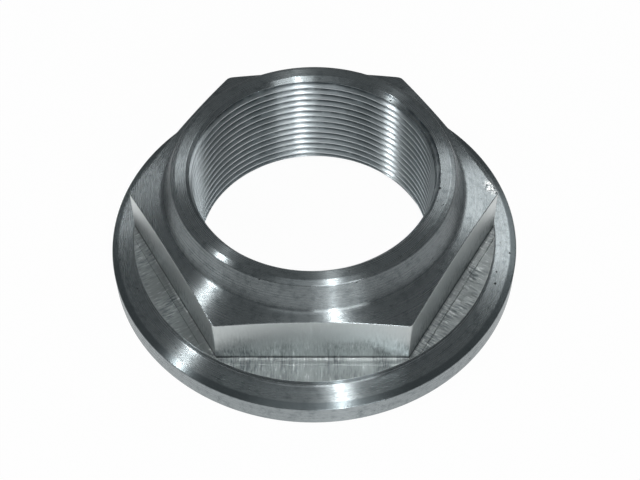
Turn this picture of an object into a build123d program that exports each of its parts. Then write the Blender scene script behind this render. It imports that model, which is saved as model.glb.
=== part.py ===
from build123d import *
import os

# Flanged hexagon nut with a tapered round collar, all in millimetres.
# +Z is the bore's axis, and z = 0 is the flat bearing face under the flange.
# The nut is turned from one blank, and the six wrench flats are milled into it.

# Thread M58 x 2: the solid holds its bore as a plain wall at the minor radius.
PITCH = 2.0
THREAD_MAJOR_R = 29.0
BORE_R = 27.92
TOP_CHAMFER_R = 29.2
TOP_CHAMFER_DEPTH = 1.4
BASE_CHAMFER_R = 30.5
BASE_CHAMFER_DEPTH = 2.6

# Flange: an upright rim, a broken top edge, and a shallow cone up to the step.
FLANGE_R = 49.0
RIM_HEIGHT = 5.7
CONE_OUTER_R = 47.5
CONE_OUTER_Z = 6.3
STEP_R = 43.5
STEP_FOOT_Z = 7.2
STEP_FOOT_FILLET = 0.5
BASE_EDGE = 0.4

# Hexagon: the milled lands stand a little above the flange's cone, and a second, shallower
# pass leaves a narrow ledge at the foot of each flat.
ACROSS_FLATS = 75.0
LAND_Z = 8.75
LEDGE_Z = 9.0
LEDGE_WIDTH = 1.7
FLAT_FOOT_FILLET = 0.8
CORNER_TOP_R = 43.05
CORNER_TOP_Z = 21.8

# Crown above the flats, and the collar that tapers in towards its top face.
COLLAR_ROOT_R = 35.08
COLLAR_ROOT_Z = 24.0
COLLAR_ROOT_FILLET = 1.5
COLLAR_TOP_R = 32.7
COLLAR_TOP_Z = 30.3
TOP_FACE_R = 31.5
HEIGHT = 30.85


def turned_blank():
    """The blank as it leaves the lathe: one closed profile carried round the bore's axis."""
    outline = [
        (BASE_CHAMFER_R, 0),
        (FLANGE_R - BASE_EDGE, 0),
        (FLANGE_R, BASE_EDGE),
        (FLANGE_R, RIM_HEIGHT),
        (CONE_OUTER_R, CONE_OUTER_Z),
        (STEP_R, STEP_FOOT_Z),
        (STEP_R, LEDGE_Z),
        (CORNER_TOP_R, CORNER_TOP_Z),
        (COLLAR_ROOT_R, COLLAR_ROOT_Z),
        (COLLAR_TOP_R, COLLAR_TOP_Z),
        (TOP_FACE_R, HEIGHT),
        (TOP_CHAMFER_R, HEIGHT),
        (BORE_R, HEIGHT - TOP_CHAMFER_DEPTH),
        (BORE_R, BASE_CHAMFER_DEPTH),
    ]
    with BuildPart() as blank:
        with BuildSketch(Plane.XZ) as section:
            with BuildLine():
                Polyline(*outline, close=True)
            make_face()
            corners = section.vertices()
            fillet(nearest(corners, STEP_R, STEP_FOOT_Z), STEP_FOOT_FILLET)
            fillet(nearest(corners, COLLAR_ROOT_R, COLLAR_ROOT_Z), COLLAR_ROOT_FILLET)
        revolve(axis=Axis.Z)
    return blank.part


def nearest(corners, radius, height):
    """The profile corner at the given radius and height, in the sketch's own plane."""
    return corners.sort_by_distance(Vector(radius, 0, height))[0]


def hexagon(apothem, foot):
    """A hexagonal prism with corners on the X axis, from foot to above the nut's top."""
    prism = extrude(RegularPolygon(apothem, 6, major_radius=False), HEIGHT + 5 - foot)
    return Pos(0, 0, foot) * prism


def foot_fillet(apothem, foot, radius):
    """The concave fillet along the foot of one flat, mitred to its neighbours at both ends."""
    low = (apothem + radius, foot)
    high = (apothem, foot + radius)
    turn = radius * (1 - 0.5**0.5)
    middle = (apothem + turn, foot + turn)
    behind = (apothem - 1, foot + radius)
    beneath = (apothem - 1, foot - 1)
    outside = (apothem + radius, foot - 1)
    with BuildPart() as strip:
        with BuildSketch(Plane.XZ):
            with BuildLine():
                ThreePointArc(low, middle, high)
                Polyline(high, behind, beneath, outside, low)
            make_face()
        extrude(amount=apothem, both=True)
    reach = apothem + 2 * radius
    spread = reach * 3**-0.5
    with BuildPart() as sector:
        with BuildSketch(Plane.XY.offset(foot - 2)):
            with BuildLine():
                Polyline((0, 0), (reach, -spread), (reach, spread), close=True)
            make_face()
        extrude(amount=radius + 4)
    return strip.part & sector.part


def milling(apothem, foot, radius=0):
    """What a cutter takes off round a hexagon, from the foot of the flats to the crown."""
    ring = Pos(0, 0, foot) * Cylinder(
        STEP_R + 2, CORNER_TOP_Z + 2 - foot, align=(Align.CENTER, Align.CENTER, Align.MIN)
    )
    cut = ring - hexagon(apothem, foot)
    if radius:
        strip = foot_fillet(apothem, foot, radius)
        for side in range(6):
            cut = cut - Rot(0, 0, 30 + 60 * side) * strip
    return cut


half_flats = ACROSS_FLATS / 2
nut = turned_blank()
nut = nut - milling(half_flats, LEDGE_Z, FLAT_FOOT_FILLET)
nut = nut - milling(half_flats + LEDGE_WIDTH, LAND_Z)

os.makedirs("parts", exist_ok=True)
export_step(nut.solids()[0], "parts/flange_nut.step")
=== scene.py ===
import math

import bpy
import numpy as np
from mathutils import Matrix, Vector


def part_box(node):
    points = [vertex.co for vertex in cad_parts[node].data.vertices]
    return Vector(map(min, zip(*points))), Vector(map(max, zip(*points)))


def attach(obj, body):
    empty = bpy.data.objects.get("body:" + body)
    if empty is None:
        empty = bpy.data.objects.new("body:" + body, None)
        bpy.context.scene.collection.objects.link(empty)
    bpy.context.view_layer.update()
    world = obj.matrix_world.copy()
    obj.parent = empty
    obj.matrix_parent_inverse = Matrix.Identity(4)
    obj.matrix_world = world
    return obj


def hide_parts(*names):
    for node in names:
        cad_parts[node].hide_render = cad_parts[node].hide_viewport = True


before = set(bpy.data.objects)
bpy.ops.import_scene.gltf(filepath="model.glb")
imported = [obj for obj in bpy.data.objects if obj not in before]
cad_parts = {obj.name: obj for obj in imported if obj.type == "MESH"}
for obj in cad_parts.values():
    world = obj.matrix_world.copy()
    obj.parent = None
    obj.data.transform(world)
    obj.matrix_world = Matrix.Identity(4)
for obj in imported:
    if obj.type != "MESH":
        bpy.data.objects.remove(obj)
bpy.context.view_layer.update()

bl_info = {
    "name": "Flanged hexagon axle nut",
    "version": (1, 0, 0),
    "blender": (4, 5, 0),
    "location": "3D View > Sidebar > Axle nut",
    "description": "Builds a turned and milled steel axle nut with its thread, tool marks and wear",
    "category": "Add Mesh",
}

MM = 0.001
NODE = "flange_nut"
CAD_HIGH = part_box(NODE)[1]


# ---------------------------------------------------------------- colours

def linear(hexes):
    """An sRGB hex colour such as "8a8f91" as linear red, green and blue."""
    srgb = np.array([int(hexes[i:i + 2], 16) / 255 for i in (0, 2, 4)])
    low = srgb / 12.92
    high = ((srgb + 0.055) / 1.055) ** 2.4
    return tuple(float(v) for v in np.where(srgb <= 0.04045, low, high))


# ---------------------------------------------------------------- what a user may change

def length(name, description, default_mm):
    """A length property, given in millimetres and held in metres."""
    return bpy.props.FloatProperty(
        name=name, description=description, default=default_mm * MM,
        min=0.0, unit="LENGTH", precision=5,
    )


def colour(name, description, hexes):
    """A colour property from an sRGB hex value."""
    return bpy.props.FloatVectorProperty(
        name=name, description=description, default=linear(hexes),
        min=0.0, max=1.0, size=3, subtype="COLOR",
    )


class NutSizes(bpy.types.PropertyGroup):
    """Sizes of the nut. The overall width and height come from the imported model."""

    flange_radius: length("Flange radius", "Radius of the flange's rim", CAD_HIGH.x / MM)
    height: length("Height", "From the bearing face to the collar's top", CAD_HIGH.z / MM)
    across_flats: length("Across flats", "Width between opposite wrench flats", 75.0)
    rim_height: length("Rim height", "Height of the flange's upright rim", 5.7)
    cone_radius: length("Cone radius", "Where the flange's cone meets its broken edge", 47.5)
    cone_height: length("Cone height", "Height of that edge", 6.3)
    step_radius: length("Step radius", "Radius of the step round the milled lands", 43.5)
    step_foot: length("Step foot", "Height at which the step rises from the cone", 7.2)
    land_height: length("Land height", "Height of the six milled lands", 8.75)
    ledge_height: length("Ledge height", "Height of the narrow ledge at each flat's foot", 9.0)
    ledge_width: length("Ledge width", "Width of that ledge, out from the flat", 1.7)
    foot_fillet: length("Foot fillet", "Fillet between a flat and its ledge", 0.8)
    corner_radius: length("Corner radius", "Radius of the turned corner strips at the crown", 43.05)
    corner_height: length("Corner height", "Height of the hexagon's corners", 21.8)
    root_radius: length("Collar root radius", "Radius at the collar's foot", 35.08)
    root_height: length("Collar root height", "Height of the collar's foot", 24.0)
    collar_radius: length("Collar radius", "Radius of the collar under its chamfer", 32.7)
    collar_height: length("Collar wall height", "Height at which the collar's chamfer starts", 30.3)
    top_radius: length("Top face radius", "Outer radius of the flat ring on top", 31.5)
    mouth_radius: length("Bore mouth radius", "Inner radius of the flat ring on top", 29.2)
    base_mouth_radius: length("Base mouth radius", "Radius of the bore's mouth underneath", 30.5)


class ThreadSizes(bpy.types.PropertyGroup):
    """Sizes of the internal thread."""

    pitch: length("Pitch", "Advance of the thread in one turn", 2.0)
    minor_radius: length("Minor radius", "Radius at the crests", 27.92)
    major_radius: length("Major radius", "Radius at the roots, with the tap's clearance", 29.12)
    top_chamfer: length("Top chamfer", "Depth of the chamfer at the collar's end", 1.4)
    base_chamfer: length("Base chamfer", "Depth of the chamfer at the bearing face", 2.6)
    start_angle: bpy.props.FloatProperty(
        name="Start angle", description="Where the thread breaks out through the top chamfer",
        default=math.radians(-7.5), subtype="ANGLE",
    )


class SteelColours(bpy.types.PropertyGroup):
    """Colours of the bare steel, as cut by each tool."""

    turned: colour("Turned steel", "Flange cone, rim, crown and collar", "9aa1a3")
    # Also mixed in as painted shade on the flange's broken edge.
    turned_dark: colour("Turned steel, stained", "Cutting-oil stain in the turned marks", "666f72")
    milled: colour("Milled steel", "Wrench flats", "bdc3c3")
    milled_dark: colour("Milled steel, furrows", "Furrows left by the cutter", "6f797b")
    land: colour("Milled lands", "Lands round the foot of the flats", "abb1b1")
    land_dark: colour("Milled lands, furrows", "Oily furrows in the lands", "60696c")
    thread: colour("Threaded steel", "Thread flanks and crests", "c1c9cc")
    # Mixed in towards the thread roots by distance from the axis, in patches.
    thread_dark: colour("Thread roots", "Oily thread roots", "61696e")
    floor: colour("Floor", "Plain studio floor", "f4f4f4")


# ---------------------------------------------------------------- shape

SECTORS = 6
SECTOR = math.radians(60.0)

# Degrees from a corner of the hexagon. They are close together where the ledge runs out.
CORNER_STEPS = np.array([0.0, 0.12, 0.24, 0.36, 0.48, 0.6, 0.75, 0.95, 1.25, 1.8, 2.8, 4.2])
FLAT_STEPS = 16

# Sides of the outside's profile, counted from the bearing face.
LAND_SIDES = (5, 6, 7)
FLAT_SIDE = 8

# Rows down the bore for each turn of the thread, and how far below the top ring they start.
ROWS_PER_TURN = 13
MOUTH_GAP = 0.07

# The finish of each face, in the order of the nut's materials.
TURNED, FLAT, LAND, TAPPED = range(4)

# Length of the tool-mark pattern that each flat has to itself.
PATTERN_STRETCH = 97.0


def round_angles():
    """Angles once round the bore, close together at the six corners and where the ledge runs out.

    Each sixth of a turn holds the same steps, mirrored about the middle of its flat, so every
    corner of the hexagon falls on a sample.
    """
    over_flat = np.linspace(CORNER_STEPS[-1], 30.0, FLAT_STEPS + 1)[1:]
    half = np.concatenate([CORNER_STEPS, over_flat])
    sixth = np.concatenate([half, 60.0 - half[-2:0:-1]])
    return np.radians(np.concatenate([60.0 * k + sixth for k in range(SECTORS)]))


def soft_min(a, b, rounding):
    """The lower of a and b, with the crease between them rounded: half of a + b less the root of
    their difference squared plus the rounding squared."""
    return 0.5 * (a + b - np.sqrt((a - b) ** 2 + rounding ** 2))


def rounded_outline(corners):
    """A profile through corners, each rounded, for every angle at once.

    A corner holds its radius and height at each angle, the distance from it at which its bend
    leaves one side and joins the next, the steps round the bend, and the points in the straight
    run that follows. A bend is a quadratic curve, and its distance is kept to 45% of the shorter
    side. Returns the points and, for each row, the number of the side it follows.
    """
    places, roundings, bend_steps, run_points = zip(*corners)
    points, sides = [], []
    gaps = [np.linalg.norm(b - a, axis=-1, keepdims=True) for a, b in zip(places, places[1:])]
    for k in range(1, len(places) - 1):
        here, before, after = places[k], places[k - 1], places[k + 1]
        reach = np.minimum(roundings[k], 0.45 * np.minimum(gaps[k - 1], gaps[k]))
        start = here + (before - here) / np.maximum(gaps[k - 1], 1e-9) * reach
        end = here + (after - here) / np.maximum(gaps[k], 1e-9) * reach
        if points:
            last = points[-1]
            for u in np.linspace(0, 1, run_points[k - 1] + 2)[1:-1]:
                points.append(last + (start - last) * u)
                sides.append(k - 1)
        for u in np.linspace(0, 1, bend_steps[k] + 1):
            points.append((1 - u) ** 2 * start + 2 * u * (1 - u) * here + u ** 2 * end)
            sides.append(k - 1 if u < 0.5 else k)
    return np.stack(points), np.array(sides)


def outside_rows(sizes, turn):
    """Rows of the outside by angles, from the bearing face up to the bore's mouth, and each row's side.

    It is a lathe profile whose middle part is cut back to the hexagon: at an angle t from a flat's
    middle, the flat lies at half the width across flats over the cosine of t. The crown's edge
    takes its height from the crown's cone at that radius.
    """
    off_middle = turn % SECTOR - SECTOR / 2
    flat = 0.5 * sizes["across_flats"] / np.cos(off_middle)
    step, corner = sizes["step_radius"], sizes["corner_radius"]
    low, high, top = sizes["ledge_height"], sizes["corner_height"], sizes["height"]

    def blank(height):
        """Radius of the turned strips at the corners, which lean in a little from foot to crown."""
        foot = step - 0.08
        share = np.clip((height - low) / (high - low), 0, 1)
        return foot + (corner - foot) * share

    def at(radius, height):
        """A radius and a height at every angle."""
        shape = np.ones_like(turn)
        return np.stack([radius * shape, height * shape], axis=-1)

    # The hexagon's corners are rounded a little more at the crown than at the foot.
    flat_low = soft_min(flat, blank(low), 0.08)
    flat_top = soft_min(flat, blank(high), 0.14)
    fall = (sizes["root_height"] - high) / (corner - sizes["root_radius"])
    crown_edge = sizes["root_height"] - (flat_top - sizes["root_radius"]) * fall
    ledge = soft_min(flat + sizes["ledge_width"] / np.cos(off_middle), step - 0.05, 0.05)

    # Place, rounding, steps round the bend, and points in the straight run that follows.
    rows, sides = rounded_outline([
        (at(sizes["base_mouth_radius"], 0.0), 0.0, 0, 0),
        (at(sizes["flange_radius"], 0.0), 0.45, 4, 1),
        (at(sizes["flange_radius"], sizes["rim_height"]), 0.25, 3, 4),
        (at(sizes["cone_radius"], sizes["cone_height"]), 0.22, 3, 2),
        (at(step, sizes["step_foot"]), 0.55, 4, 1),
        (at(step, sizes["land_height"]), 0.14, 3, 2),
        (at(ledge, sizes["land_height"]), 0.05, 1, 0),
        (at(ledge - 0.04, low), 0.07, 2, 1),
        (at(flat_low, low), sizes["foot_fillet"], 4, 7),
        (at(flat_top, crown_edge), 0.22, 4, 5),
        (at(sizes["root_radius"], sizes["root_height"]), 0.8, 5, 3),
        (at(sizes["collar_radius"], sizes["collar_height"]), 0.25, 4, 0),
        (at(sizes["top_radius"], top), 0.15, 3, 1),
        (at(sizes["mouth_radius"], top), 0.06, 2, 0),
        (at(sizes["mouth_radius"] - 0.6, top - 0.6), 0.0, 0, 0),
    ])

    cut = soft_min(flat, blank(rows[:, :, 1]), 0.12)
    past = (sides == FLAT_SIDE)[:, None] & (rows[:, :, 0] > cut)
    rows[:, :, 0] = np.where(past, cut, rows[:, :, 0])
    rows[:, :, 0] += burr_lip(rows, turn, high)
    return rows, sides


def burr_lip(rows, turn, corner_height):
    """How far the burr at the hexagon's corner on the +X axis stands out, up to a quarter of a
    millimetre: a bell curve along the edge and away from it, made ragged by a sine wave."""
    along = rows[:, :, 0] * np.sin(turn)
    above = rows[:, :, 1] - corner_height
    bell = np.exp(-(along / 0.9) ** 2 - (above / 0.5) ** 2) * (np.cos(turn) > 0)
    return 0.25 * bell * (0.65 + 0.35 * np.sin(9.0 * along + 2.0 * rows[:, :, 1]))


def thread_radius(turn, below, thread):
    """Radius of the right-hand thread's surface at an angle and a distance below the top ring.

    The phase is the height over the pitch less the angle's share of a turn, and a root's middle
    lies a fifth of a turn on from the start. Beside the root, which is a twelfth of the pitch
    wide, the surface falls away at the 30 degree flanks of a metric thread, from the major radius
    to the minor.
    """
    phase = -below / thread["pitch"] - (turn - thread["start_angle"]) / (2 * np.pi) + 0.2
    away = np.abs((phase + 0.5) % 1.0 - 0.5) * thread["pitch"]
    flank = thread["major_radius"] - (away - thread["pitch"] / 24) * math.sqrt(3.0)
    upper = soft_min(flank, thread["major_radius"], 0.05)
    return -soft_min(-upper, -thread["minor_radius"], 0.05)


def bore_rows(sizes, thread, turn):
    """Rows down the bore by angles, from its mouth to the bearing face, and where a chamfer cuts
    the thread. They lie at even heights, and hold the larger of the thread's and the chamfers' radii."""
    minor, start = thread["minor_radius"], sizes["height"] - MOUTH_GAP
    heights = np.linspace(start, 0.0, round(start / thread["pitch"] * ROWS_PER_TURN) + 1)
    above = heights - (sizes["height"] - thread["top_chamfer"])
    mouth = minor + above * (sizes["mouth_radius"] - minor) / thread["top_chamfer"]
    base_mouth = sizes["base_mouth_radius"]
    base = base_mouth - heights * (base_mouth - minor) / thread["base_chamfer"]
    cones = np.maximum(mouth, base)[:, None]
    wound = thread_radius(turn, sizes["height"] - heights[:, None], thread)
    rows = np.stack(np.broadcast_arrays(np.maximum(wound, cones), heights[:, None]), axis=-1)
    return rows, cones - wound > 0.02


def grid_faces(rows, columns):
    """Quads of a grid that closes on itself both ways, wound so that faces point outwards."""
    row, column = np.meshgrid(np.arange(rows), np.arange(columns), indexing="ij")
    up, on = (row + 1) % rows, (column + 1) % columns
    low, high = row * columns, up * columns
    return np.stack([low + column, low + on, high + on, high + column], -1).reshape(-1, 4)


def face_finishes(surface, sides, chamfered):
    """The finish of each face: milled on the flats and lands, tapped down the bore except where a
    chamfer cuts it, and turned elsewhere, with the last row as the bearing face."""
    finish = np.full(surface.shape[:2], TURNED, np.int32)
    outside, bore = finish[:len(sides)], finish[len(sides):]
    outside[sides == FLAT_SIDE] = FLAT
    outside[np.isin(sides, LAND_SIDES)] = LAND
    outside[-1] = TAPPED
    bore[:-1] = TAPPED
    bore[chamfered] = TURNED
    return finish.ravel()


def tool_mark_places(surface, turn, quads):
    """Where each face's corners lie on the tool-mark pattern, in millimetres: along the flat, and
    height plus distance out from the axis, so that marks run on from a land up its flat."""
    columns = len(turn)
    radius, height = surface[..., 0].ravel()[quads], surface[..., 1].ravel()[quads]
    side = quads[:, :1] % columns // (columns // SECTORS)
    beyond = turn[quads % columns] - SECTOR * (side + 0.5)
    along = radius * np.sin(beyond) + PATTERN_STRETCH * side
    return np.stack([along, height + radius * np.cos(beyond)], -1).astype(np.float32)


def even_normals(points, quads):
    """Vertex normals with each face counted by its area, so wide faces stay flat beside narrow bends."""
    a, b, c, d = (points[quads[:, k]] for k in range(4))
    face = np.cross(c - a, d - b)
    total = np.zeros_like(points)
    for k in range(4):
        np.add.at(total, quads[:, k], face * np.linalg.norm(face, axis=1, keepdims=True))
    return total / np.maximum(np.linalg.norm(total, axis=1, keepdims=True), 1e-12)


def in_mm(group):
    """A property group's numbers by name, with lengths in millimetres and angles left alone."""
    found = {}
    for name, prop in group.bl_rna.properties.items():
        if prop.type == "FLOAT":
            value = getattr(group, name)
            found[name] = value if prop.unit == "ROTATION" else value / MM
    return found


def build_nut(sizes, thread, colours):
    """The nut as one closed grid of profile rows by angles, with its materials and normals."""
    turn = round_angles()
    outside, sides = outside_rows(sizes, turn)
    bore, chamfered = bore_rows(sizes, thread, turn)
    surface = np.concatenate([outside, bore])
    radius, height = surface[..., 0], surface[..., 1]
    points = np.stack([radius * np.cos(turn), radius * np.sin(turn), height], -1).reshape(-1, 3) * MM
    quads = grid_faces(*radius.shape)

    mesh = bpy.data.meshes.new("flange_nut_steel")
    mesh.from_pydata(points.tolist(), [], quads.tolist())
    mesh.polygons.foreach_set("material_index", face_finishes(surface, sides, chamfered))
    mesh.polygons.foreach_set("use_smooth", np.ones(len(quads), bool))
    layer = mesh.uv_layers.new(name="tool_marks")
    layer.data.foreach_set("uv", tool_mark_places(surface, turn, quads).ravel())
    mesh.validate()
    mesh.normals_split_custom_set_from_vertices(even_normals(points, quads).tolist())
    mesh.update()
    mesh.materials.append(turned_steel(colours))
    # The flats get 0.85 of painted shade in their fillets, the lands none.
    mesh.materials.append(milled_steel("flats", colours.milled, colours.milled_dark, 0.85, 0.0))
    mesh.materials.append(milled_steel("lands", colours.land, colours.land_dark, 0.0, 0.85))
    mesh.materials.append(tapped_steel(colours))
    nut = bpy.data.objects.new("nut_body", mesh)
    bpy.context.scene.collection.objects.link(nut)
    return nut


# ---------------------------------------------------------------- materials

# Feed of the lathe's tool for one turn of the blank.
FEED_MM = 0.28

# Colours of marks that are the same on every finish.
PIT = linear("1c1f20")
# Painted shade in the crease of each flat's fillet.
CREASE_SHADE = linear("2e3335")
# Bright scratches, with painted glints that brighten them towards each flat's foot.
SCRATCH_AND_GLINT = linear("dde1e1")
TORN_CHIP = linear("eef0ef")
TORN_HOLLOW = linear("2a2e30")

# Where the burr beside the hexagon's corner on the +X axis lies, in millimetres.
BURR_PLACE = (42.0, 1.6, 22.1)

# Small dents by place and radius, in millimetres: pits on the flange's cone and edge at the right,
# and the nick where the thread starts in the top ring's inner edge.
DENTS = [
    ((43.3, -12.0, 6.88), 0.22),
    ((42.8, -15.3, 6.77), 0.26),
    ((47.0, -6.0, 6.33), 0.20),
    ((44.9, -3.2, 6.87), 0.15),
    ((44.0, 6.5, 6.94), 0.18),
    ((28.5, -6.0, 30.8), 0.42),
]

# What a Map Range node takes to ease in and out of its limits.
EASED = {"interpolation_type": "SMOOTHSTEP"}


def add(tree, kind, inputs=None, **settings):
    """Adds a shader node and returns it. Its settings come first. Then each input, by name or
    number, is linked if it is given another node's output, and filled if it is given a value, with
    a colour's red, green and blue made opaque."""
    node = tree.nodes.new(f"ShaderNode{kind}")
    for name, value in settings.items():
        setattr(node, name, value)
    for name, value in (inputs or {}).items():
        socket = node.inputs[name]
        if isinstance(value, bpy.types.NodeSocket):
            tree.links.new(value, socket)
        elif socket.type == "RGBA":
            socket.default_value = (*value, 1.0)
        else:
            socket.default_value = value
    return node


def empty_nodes(owner):
    """The emptied node tree of a new material or world."""
    owner.use_nodes = True
    owner.node_tree.nodes.clear()
    return owner.node_tree


def bare_metal(tree, colour, roughness, normal, tangent, stretch):
    """Bare metal whose fine marks run along the tangent, and draw each reflection out across it by
    the stretch, from 0 for not at all to 1. The quarter turn is what puts it across the marks."""
    surface = add(tree, "BsdfPrincipled", {
        "Metallic": 1.0, "Base Color": colour, "Roughness": roughness, "Normal": normal,
        "Tangent": tangent, "Anisotropic": stretch, "Anisotropic Rotation": 0.25,
    })
    add(tree, "OutputMaterial", {"Surface": surface.outputs[0]})


def from_axis(tree, place):
    """Distance from the bore's axis: the length of the place with its height left out."""
    level = add(tree, "VectorMath", {0: place, 1: (1.0, 1.0, 0.0)}, operation="MULTIPLY")
    return add(tree, "VectorMath", {0: level.outputs[0]}, operation="LENGTH").outputs["Value"]


def near(tree, place, spot_mm, inner_mm, outer_mm):
    """A round patch about a spot: 1 within the inner radius, 0 past the outer one."""
    spot = [value * MM for value in spot_mm]
    away = add(tree, "VectorMath", {0: place, 1: spot}, operation="DISTANCE").outputs["Value"]
    limits = {"Value": away, "From Min": outer_mm * MM, "From Max": inner_mm * MM}
    return add(tree, "MapRange", limits, **EASED).outputs[0]


def patchy(tree, place, scale, low, high, detail=2.0, roughness=0.5, least=0.0, most=1.0):
    """A share that comes and goes in soft patches: the least where noise of that scale is at the low
    limit, the most where it is at the high one. A scale of 0.6 / MM is 0.6 patches to the millimetre."""
    noise = add(tree, "TexNoise", {
        "Vector": place, "Scale": scale, "Detail": detail, "Roughness": roughness,
    }).outputs["Fac"]
    limits = {"Value": noise, "From Min": low, "From Max": high, "To Min": least, "To Max": most}
    return add(tree, "MapRange", limits, **EASED).outputs[0]


def burred(tree, place, clean):
    """Steel with the burr's bright torn chips and the dark hollows between them, in ragged specks that
    fade out within 3 mm of it: the chips are the noise's peaks and the hollows its troughs."""
    beside = near(tree, place, BURR_PLACE, 1.2, 3.0)
    colour = clean
    for torn, low, high in ((TORN_CHIP, 0.5, 0.58), (TORN_HOLLOW, 0.46, 0.4)):
        specks = patchy(tree, place, 1.5 / MM, low, high, detail=3.0, roughness=0.7)
        share = add(tree, "Math", {0: beside, 1: specks}, operation="MULTIPLY").outputs[0]
        colour = add(tree, "Mix", {"Factor": share, 6: colour, 7: torn}, data_type="RGBA").outputs[2]
    return colour


def pitted(tree, place):
    """The share of pit at each point, 1 in the middle of each: specks about 0.3 mm across in a few
    patches of the surface, and the dents."""
    cells = add(tree, "TexVoronoi", {"Vector": place, "Scale": 0.9 / MM, "Randomness": 1.0})
    limits = {"Value": cells.outputs["Distance"], "From Min": 0.2, "From Max": 0.1}
    speck = add(tree, "MapRange", limits, **EASED).outputs[0]
    chosen = patchy(tree, place, 0.11 / MM, 0.62, 0.66)
    pits = add(tree, "Math", {0: speck, 1: chosen}, operation="MULTIPLY").outputs[0]
    for spot, radius in DENTS:
        dent = near(tree, place, spot, 0.7 * radius, 1.4 * radius)
        pits = add(tree, "Math", {0: pits, 1: dent}, operation="MAXIMUM").outputs[0]
    return pits


def ring_marks(tree, place, away, height):
    """Concentric tool marks: noise at the tool's feed that varies with the distance from the axis
    and with height, and hardly at all round the axis. Its third coordinate only picks a slice."""
    drift = add(tree, "TexNoise", {"Vector": place, "Scale": 0.06 / MM, "Detail": 1.0})
    across = add(tree, "CombineXYZ", {"X": away, "Y": height, "Z": 0.3})
    wander = {0: drift.outputs["Color"], 1: (0.0, 0.0, 0.03 * MM), 2: across.outputs[0]}
    marks = add(tree, "VectorMath", wander, operation="MULTIPLY_ADD").outputs[0]
    return add(tree, "TexNoise", {
        "Vector": marks, "Scale": 1.0 / (FEED_MM * MM), "Detail": 2.0, "Roughness": 0.6,
    }).outputs["Fac"]


def edge_shade_band(tree, away, height, most):
    """The share, up to the most, of painted shade on the broken edge between the flange's cone and
    its rim, standing in for the darker reflection there.
    """
    outer = {"Value": away, "From Min": 47.3 * MM, "From Max": 47.6 * MM, "To Max": most}
    upper = {"Value": height, "From Min": 5.5 * MM, "From Max": 5.8 * MM}
    both = [add(tree, "MapRange", limits, **EASED).outputs[0] for limits in (outer, upper)]
    return add(tree, "Math", {0: both[0], 1: both[1]}, operation="MULTIPLY").outputs[0]


def turned_steel(colours):
    """Bare carbon steel straight from the lathe, lightly oiled: fine rings at the tool's feed, which
    spread each reflection into a bright spoke, with faint oil stain, a few small dark pits, and
    painted shade on the broken edge left by the form tool."""
    material = bpy.data.materials.new("turned_steel")
    tree = empty_nodes(material)
    place = add(tree, "TexCoord").outputs["Object"]
    height = add(tree, "SeparateXYZ", {"Vector": place}).outputs["Z"]
    away = from_axis(tree, place)
    rings = ring_marks(tree, place, away, height)
    pits = pitted(tree, place)

    stain = patchy(tree, place, 0.6 / MM, 0.45, 0.75, detail=5.0, roughness=0.62, most=0.6)
    grain = patchy(tree, place, 3.5 / MM, 0.5, 0.7, most=0.4)
    oily = add(tree, "Math", {0: stain, 1: grain}, operation="ADD").outputs[0]
    limits = {"Value": rings, "From Min": 0.35, "From Max": 0.7, "To Max": 0.12}
    ring_oil = add(tree, "MapRange", limits, **EASED).outputs[0]
    colour = colours.turned
    # The last share is painted shade on the flange's broken edge, in place of a darker reflection.
    for share in (oily, ring_oil, edge_shade_band(tree, away, height, 0.75)):
        mixed = {"Factor": share, 6: colour, 7: colours.turned_dark}
        colour = add(tree, "Mix", mixed, data_type="RGBA").outputs[2]
    pit_share = add(tree, "Math", {0: pits, 1: 0.85}, operation="MULTIPLY").outputs[0]
    mixed = {"Factor": pit_share, 6: burred(tree, place, colour), 7: PIT}
    colour = add(tree, "Mix", mixed, data_type="RGBA").outputs[2]

    limits = {"Value": rings, "From Min": 0.35, "From Max": 0.7, "To Min": 0.26, "To Max": 0.28}
    polish = add(tree, "MapRange", limits, **EASED).outputs[0]
    rough = add(tree, "Math", {0: pits, 1: 0.3, 2: polish}, operation="MULTIPLY_ADD").outputs[0]
    ridges = add(tree, "Math", {0: rings, 1: 0.5}, operation="MULTIPLY").outputs[0]
    relief = add(tree, "Math", {0: pits, 1: -0.15, 2: ridges}, operation="MULTIPLY_ADD").outputs[0]
    bump = add(tree, "Bump", {"Strength": 0.3, "Distance": 0.01 * MM, "Height": relief}).outputs[0]
    round_axis = add(tree, "Tangent", direction_type="RADIAL", axis="Z").outputs[0]
    bare_metal(tree, colour, rough, bump, round_axis, 1.0)
    return material


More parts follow.
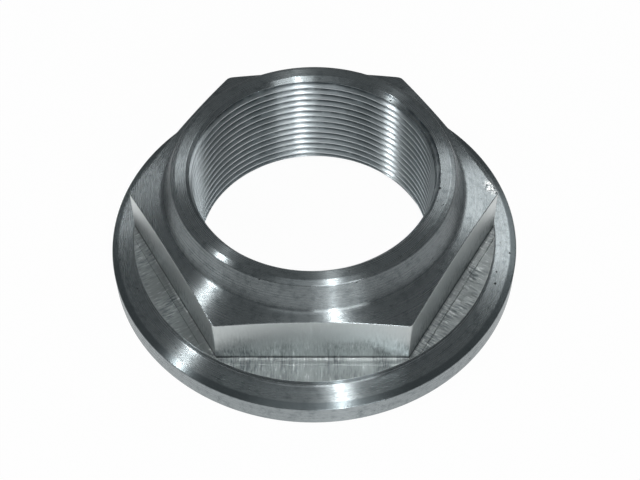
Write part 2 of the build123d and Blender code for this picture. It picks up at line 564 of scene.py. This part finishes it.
def milled_steel(where, clean, dark, fillet_shade, stretch):
    """Bare steel left by an end mill: short furrows down each wrench flat and across each land at its
    foot, deeper near the foot, where dark oil stays, with bright scratches and painted glints that
    grow towards the foot. A share of painted shade darkens the fillet, and the stretch is how far a
    reflection is drawn out from the flat.

    On the tool-mark coordinate a flat's fillet lies at 47 to 48 mm and its top at about 61 mm.
    """
    material = bpy.data.materials.new(f"milled_steel_{where}")
    tree = empty_nodes(material)
    place = add(tree, "TexCoord").outputs["Object"]
    marks = add(tree, "UVMap", uv_map="tool_marks").outputs[0]
    rise = add(tree, "SeparateXYZ", {"Vector": marks}).outputs["Y"]
    lengthened = add(tree, "Mapping", {"Vector": marks, "Scale": (2.2, 0.4, 1.0)}).outputs[0]
    furrows = add(tree, "TexNoise", {
        "Vector": lengthened, "Scale": 1.0, "Detail": 4.0, "Roughness": 0.6, "Distortion": 0.3,
    }).outputs["Fac"]

    shares = {}
    for name, source, low, high, least, most in (
        ("depth", rise, 58.0, 49.0, 0.05, 0.65),
        ("glint_toward_foot", rise, 58.0, 49.0, 0.0, 1.0),
        ("in_fillet", rise, 47.9, 47.1, 0.0, fillet_shade),
        ("furrow", furrows, 0.42, 0.66, 0.0, 1.0),
        ("ridge", furrows, 0.42, 0.3, 0.0, 1.0),
        ("rough", furrows, 0.42, 0.66, 0.3, 0.38),
    ):
        limits = {"Value": source, "From Min": low, "From Max": high, "To Min": least, "To Max": most}
        shares[name] = add(tree, "MapRange", limits, **EASED).outputs[0]

    uneven = patchy(tree, marks, 0.12, 0.38, 0.62, least=0.3, most=1.3)
    deep = add(tree, "Math", {0: shares["depth"], 1: uneven}, operation="MULTIPLY").outputs[0]
    oily = add(tree, "Math", {0: shares["furrow"], 1: deep}, operation="MULTIPLY").outputs[0]
    # Scratches along the furrow ridges, made into painted glints that grow brighter towards the foot.
    scratch_glint = {0: shares["ridge"], 1: shares["glint_toward_foot"]}
    bright = add(tree, "Math", scratch_glint, operation="MULTIPLY").outputs[0]
    colour = clean
    # Dark oily furrows, then bright scratches with painted glints towards the foot, then painted shade in
    # the fillet.
    for share, layer in ((oily, dark), (bright, SCRATCH_AND_GLINT), (shares["in_fillet"], CREASE_SHADE)):
        colour = add(tree, "Mix", {"Factor": share, 6: colour, 7: layer}, data_type="RGBA").outputs[2]

    grain = add(tree, "TexNoise", {"Vector": place, "Scale": 1.8 / MM, "Detail": 2.0}).outputs["Fac"]
    ploughed = add(tree, "Math", {0: furrows, 1: deep}, operation="MULTIPLY").outputs[0]
    relief = add(tree, "Math", {0: grain, 1: 0.06, 2: ploughed}, operation="MULTIPLY_ADD").outputs[0]
    bump = add(tree, "Bump", {"Strength": 1.0, "Distance": 0.18 * MM, "Height": relief}).outputs[0]
    along_flat = add(tree, "Tangent", direction_type="UV_MAP", uv_map="tool_marks").outputs[0]
    bare_metal(tree, burred(tree, place, colour), shares["rough"], bump, along_flat, stretch)
    return material


def tapped_steel(colours):
    """Tapped steel: darker towards the thread roots, in patches of a smear noise, and lighter at the
    crests, told apart by their distance from the axis."""
    material = bpy.data.materials.new("tapped_steel")
    tree = empty_nodes(material)
    place = add(tree, "TexCoord").outputs["Object"]
    limits = {"Value": from_axis(tree, place), "From Min": 28.0 * MM, "From Max": 29.0 * MM}
    depth = add(tree, "MapRange", limits, **EASED).outputs[0]
    smear = add(tree, "TexNoise", {
        "Vector": place, "Scale": 0.26 / MM, "Detail": 4.0, "Roughness": 0.6,
    }).outputs["Fac"]
    limits = {"Value": smear, "From Min": 0.2, "From Max": 0.55}
    dark_patches = add(tree, "MapRange", limits, **EASED).outputs[0]
    share = add(tree, "Math", {0: depth, 1: dark_patches}, operation="MULTIPLY").outputs[0]
    mixed = {"Factor": share, 6: colours.thread, 7: colours.thread_dark}
    colour = add(tree, "Mix", mixed, data_type="RGBA").outputs[2]
    rough = add(tree, "Math", {0: smear, 1: 0.2, 2: 0.22}, operation="MULTIPLY_ADD").outputs[0]
    bump = add(tree, "Bump", {"Strength": 0.3, "Distance": 0.04 * MM, "Height": smear}).outputs[0]
    round_axis = add(tree, "Tangent", direction_type="RADIAL", axis="Z").outputs[0]
    bare_metal(tree, colour, rough, bump, round_axis, 1.0)
    return material


def pale_card(colours):
    """Matt pale card. The lens sees it white, the metal sees a painted pool of white light glowing round
    the nut that fades to grey, and the card keeps a faint soft shadow."""
    material = bpy.data.materials.new("pale_card")
    tree = empty_nodes(material)
    card = add(tree, "BsdfDiffuse", {"Color": colours.floor}).outputs[0]
    place = add(tree, "TexCoord").outputs["Object"]
    rays = add(tree, "LightPath").outputs
    lens = rays["Is Camera Ray"]
    # A painted pool of light round the nut, seen only in reflections.
    pool = near(tree, place, (0.0, -30.0, 0.0), 75.0, 145.0)
    lit = add(tree, "Math", {0: pool, 1: lens}, operation="MAXIMUM").outputs[0]
    mixed = {"Factor": lit, 6: (0.24, 0.245, 0.25), 7: (1.0, 1.0, 1.0)}
    tone = add(tree, "Mix", mixed, data_type="RGBA").outputs[2]
    glow = add(tree, "Emission", {"Color": tone, "Strength": 1.0}).outputs[0]
    seen = lens
    for ray in ("Is Glossy Ray", "Is Transmission Ray"):
        seen = add(tree, "Math", {0: seen, 1: rays[ray]}, operation="MAXIMUM").outputs[0]
    share = add(tree, "Math", {0: seen, 1: 0.97}, operation="MULTIPLY").outputs[0]
    both = add(tree, "MixShader", {0: share, 1: card, 2: glow}).outputs[0]
    add(tree, "OutputMaterial", {"Surface": both})
    return material


# ---------------------------------------------------------------- stage

FLOOR_REACH = 3.0
SENSOR_WIDTH = 36.0
CAMERA_PLACE = (0.00424, -0.19852, 0.26462)
CAMERA_AIM = (0.00149, -0.00640, 0.01200)
CAMERA_ROLL = -0.65
CAMERA_LENS = 75.38

# Each lamp: name, direction from the nut, its long side's direction, width, length, watts. The
# lamps stand a metre away and aim at the middle of the nut.
LAMP_DISTANCE = 1.0
LAMP_AIM = (0.0, 0.0, 0.015)
LAMPS = [
    ("overhead_strip", (0.10, -0.15, 0.98), (0.12, -0.99, 0.0), 0.018, 0.60, 1.1),
    ("left_strip", (-0.60, -0.09, 0.79), (-0.60, -0.69, -0.40), 0.035, 0.40, 1.4),
    ("right_softbox", (0.40, 0.58, 0.71), (1.0, 0.0, -1.0), 0.27, 0.36, 1.05),
    ("back_left_card", (-0.30, 0.62, 0.72), (0.0, 1.0, 0.0), 0.08, 0.10, 0.2),
    ("front_strip", (0.19, -0.86, 0.47), (0.0, 0.0, 1.0), 0.03, 0.50, 1.3),
    ("front_softbox", (0.25, -0.85, 0.45), (1.0, 0.0, 0.0), 0.30, 0.50, 2.3),
]


def look(place, aim, upward=(0, 0, 1), roll_degrees=0.0):
    """A turn that points -Z from place to aim with +Y towards upward, then rolled about that line."""
    forward = (Vector(aim) - Vector(place)).normalized()
    right = forward.cross(Vector(upward)).normalized()
    up = right.cross(forward)
    level = Matrix((right, up, -forward)).transposed()
    return (level @ Matrix.Rotation(math.radians(roll_degrees), 3, "Z")).to_4x4()


def lay_floor(colours):
    """A wide square card at the height of the bearing face."""
    low, high = -FLOOR_REACH, FLOOR_REACH
    mesh = bpy.data.meshes.new("floor_card")
    mesh.from_pydata([(low, low, 0), (high, low, 0), (high, high, 0), (low, high, 0)], [], [(0, 1, 2, 3)])
    mesh.materials.append(pale_card(colours))
    floor = bpy.data.objects.new("floor_card", mesh)
    bpy.context.scene.collection.objects.link(floor)


def light_room():
    """A dim grey room, a little lighter higher up, with a bright ceiling panel above and in front of
    the nut. The lens sees it white."""
    world = bpy.data.worlds.new("studio")
    tree = empty_nodes(world)
    direction = add(tree, "TexCoord").outputs["Generated"]
    up = add(tree, "SeparateXYZ", {"Vector": direction}).outputs["Z"]
    panel = {0: direction, 1: (0.0, -0.45, 0.9)}
    lean = add(tree, "VectorMath", panel, operation="DOT_PRODUCT").outputs["Value"]
    rise = add(tree, "MapRange", {"Value": up, "From Min": 0.05, "From Max": 0.5}, **EASED)
    glow = add(tree, "MapRange", {"Value": lean, "From Min": 0.92, "From Max": 0.99}, **EASED)
    layers = (
        (rise.outputs[0], (0.18, 0.187, 0.19)),
        (glow.outputs[0], (0.78, 0.79, 0.8)),
        (add(tree, "LightPath").outputs["Is Camera Ray"], (1.0, 1.0, 1.0)),
    )
    tone = (0.09, 0.095, 0.1)
    for share, layer in layers:
        tone = add(tree, "Mix", {"Factor": share, 6: tone, 7: layer}, data_type="RGBA").outputs[2]
    background = add(tree, "Background", {"Color": tone, "Strength": 1.0}).outputs[0]
    add(tree, "OutputWorld", {"Surface": background})
    bpy.context.scene.world = world


def hang_lamps():
    """Narrow strips draw the spokes on the turned faces, and broad softboxes fill the milled ones."""
    for name, direction, along, width, extent, watts in LAMPS:
        lamp = bpy.data.lights.new(name, "AREA")
        lamp.shape = "RECTANGLE"
        lamp.size, lamp.size_y = width, extent
        lamp.energy = watts
        holder = bpy.data.objects.new(name, lamp)
        place = Vector(direction).normalized() * LAMP_DISTANCE
        holder.matrix_world = Matrix.Translation(place) @ look(place, LAMP_AIM, along)
        bpy.context.scene.collection.objects.link(holder)


def set_camera():
    """A long lens from above and in front of the nut."""
    scene = bpy.context.scene
    camera = bpy.data.cameras.new("studio_camera")
    camera.lens = CAMERA_LENS
    camera.sensor_width = SENSOR_WIDTH
    holder = bpy.data.objects.new("studio_camera", camera)
    turned = look(CAMERA_PLACE, CAMERA_AIM, roll_degrees=CAMERA_ROLL)
    holder.matrix_world = Matrix.Translation(CAMERA_PLACE) @ turned
    scene.collection.objects.link(holder)
    scene.camera = holder
    scene.view_settings.view_transform = "Standard"


def build_stage(colours):
    """Floor, world, lamps and camera."""
    lay_floor(colours)
    light_room()
    hang_lamps()
    set_camera()


# ---------------------------------------------------------------- operators and panel

class NUT_OT_body(bpy.types.Operator):
    """Build the turned, milled and tapped nut in place of its plain solid"""

    bl_idname = "axle_nut.body"
    bl_label = "Build nut"

    def execute(self, context):
        scene = context.scene
        nut = build_nut(in_mm(scene.nut_sizes), in_mm(scene.nut_thread), scene.nut_colours)
        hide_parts(NODE)
        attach(nut, "root")
        return {"FINISHED"}


class NUT_OT_stage(bpy.types.Operator):
    """Lay the floor and place the lamps and the camera"""

    bl_idname = "axle_nut.stage"
    bl_label = "Set the stage"

    def execute(self, context):
        build_stage(context.scene.nut_colours)
        return {"FINISHED"}


class NUT_PT_panel(bpy.types.Panel):
    """Sizes, colours and the operators that use them"""

    bl_idname = "NUT_PT_panel"
    bl_label = "Axle nut"
    bl_space_type = "VIEW_3D"
    bl_region_type = "UI"
    bl_category = "Axle nut"

    def draw(self, context):
        layout = self.layout
        for group in (context.scene.nut_sizes, context.scene.nut_thread, context.scene.nut_colours):
            column = layout.column(align=True)
            for name in group.__annotations__:
                column.prop(group, name)
        layout.operator(NUT_OT_body.bl_idname)
        layout.operator(NUT_OT_stage.bl_idname)


CLASSES = (NutSizes, ThreadSizes, SteelColours, NUT_OT_body, NUT_OT_stage, NUT_PT_panel)


def register():
    for cls in CLASSES:
        bpy.utils.register_class(cls)
    bpy.types.Scene.nut_sizes = bpy.props.PointerProperty(type=NutSizes)
    bpy.types.Scene.nut_thread = bpy.props.PointerProperty(type=ThreadSizes)
    bpy.types.Scene.nut_colours = bpy.props.PointerProperty(type=SteelColours)


def unregister():
    del bpy.types.Scene.nut_colours
    del bpy.types.Scene.nut_thread
    del bpy.types.Scene.nut_sizes
    for cls in reversed(CLASSES):
        bpy.utils.unregister_class(cls)


def main():
    register()
    bpy.ops.axle_nut.body()
    bpy.ops.axle_nut.stage()


if __name__ == "__main__":
    main()
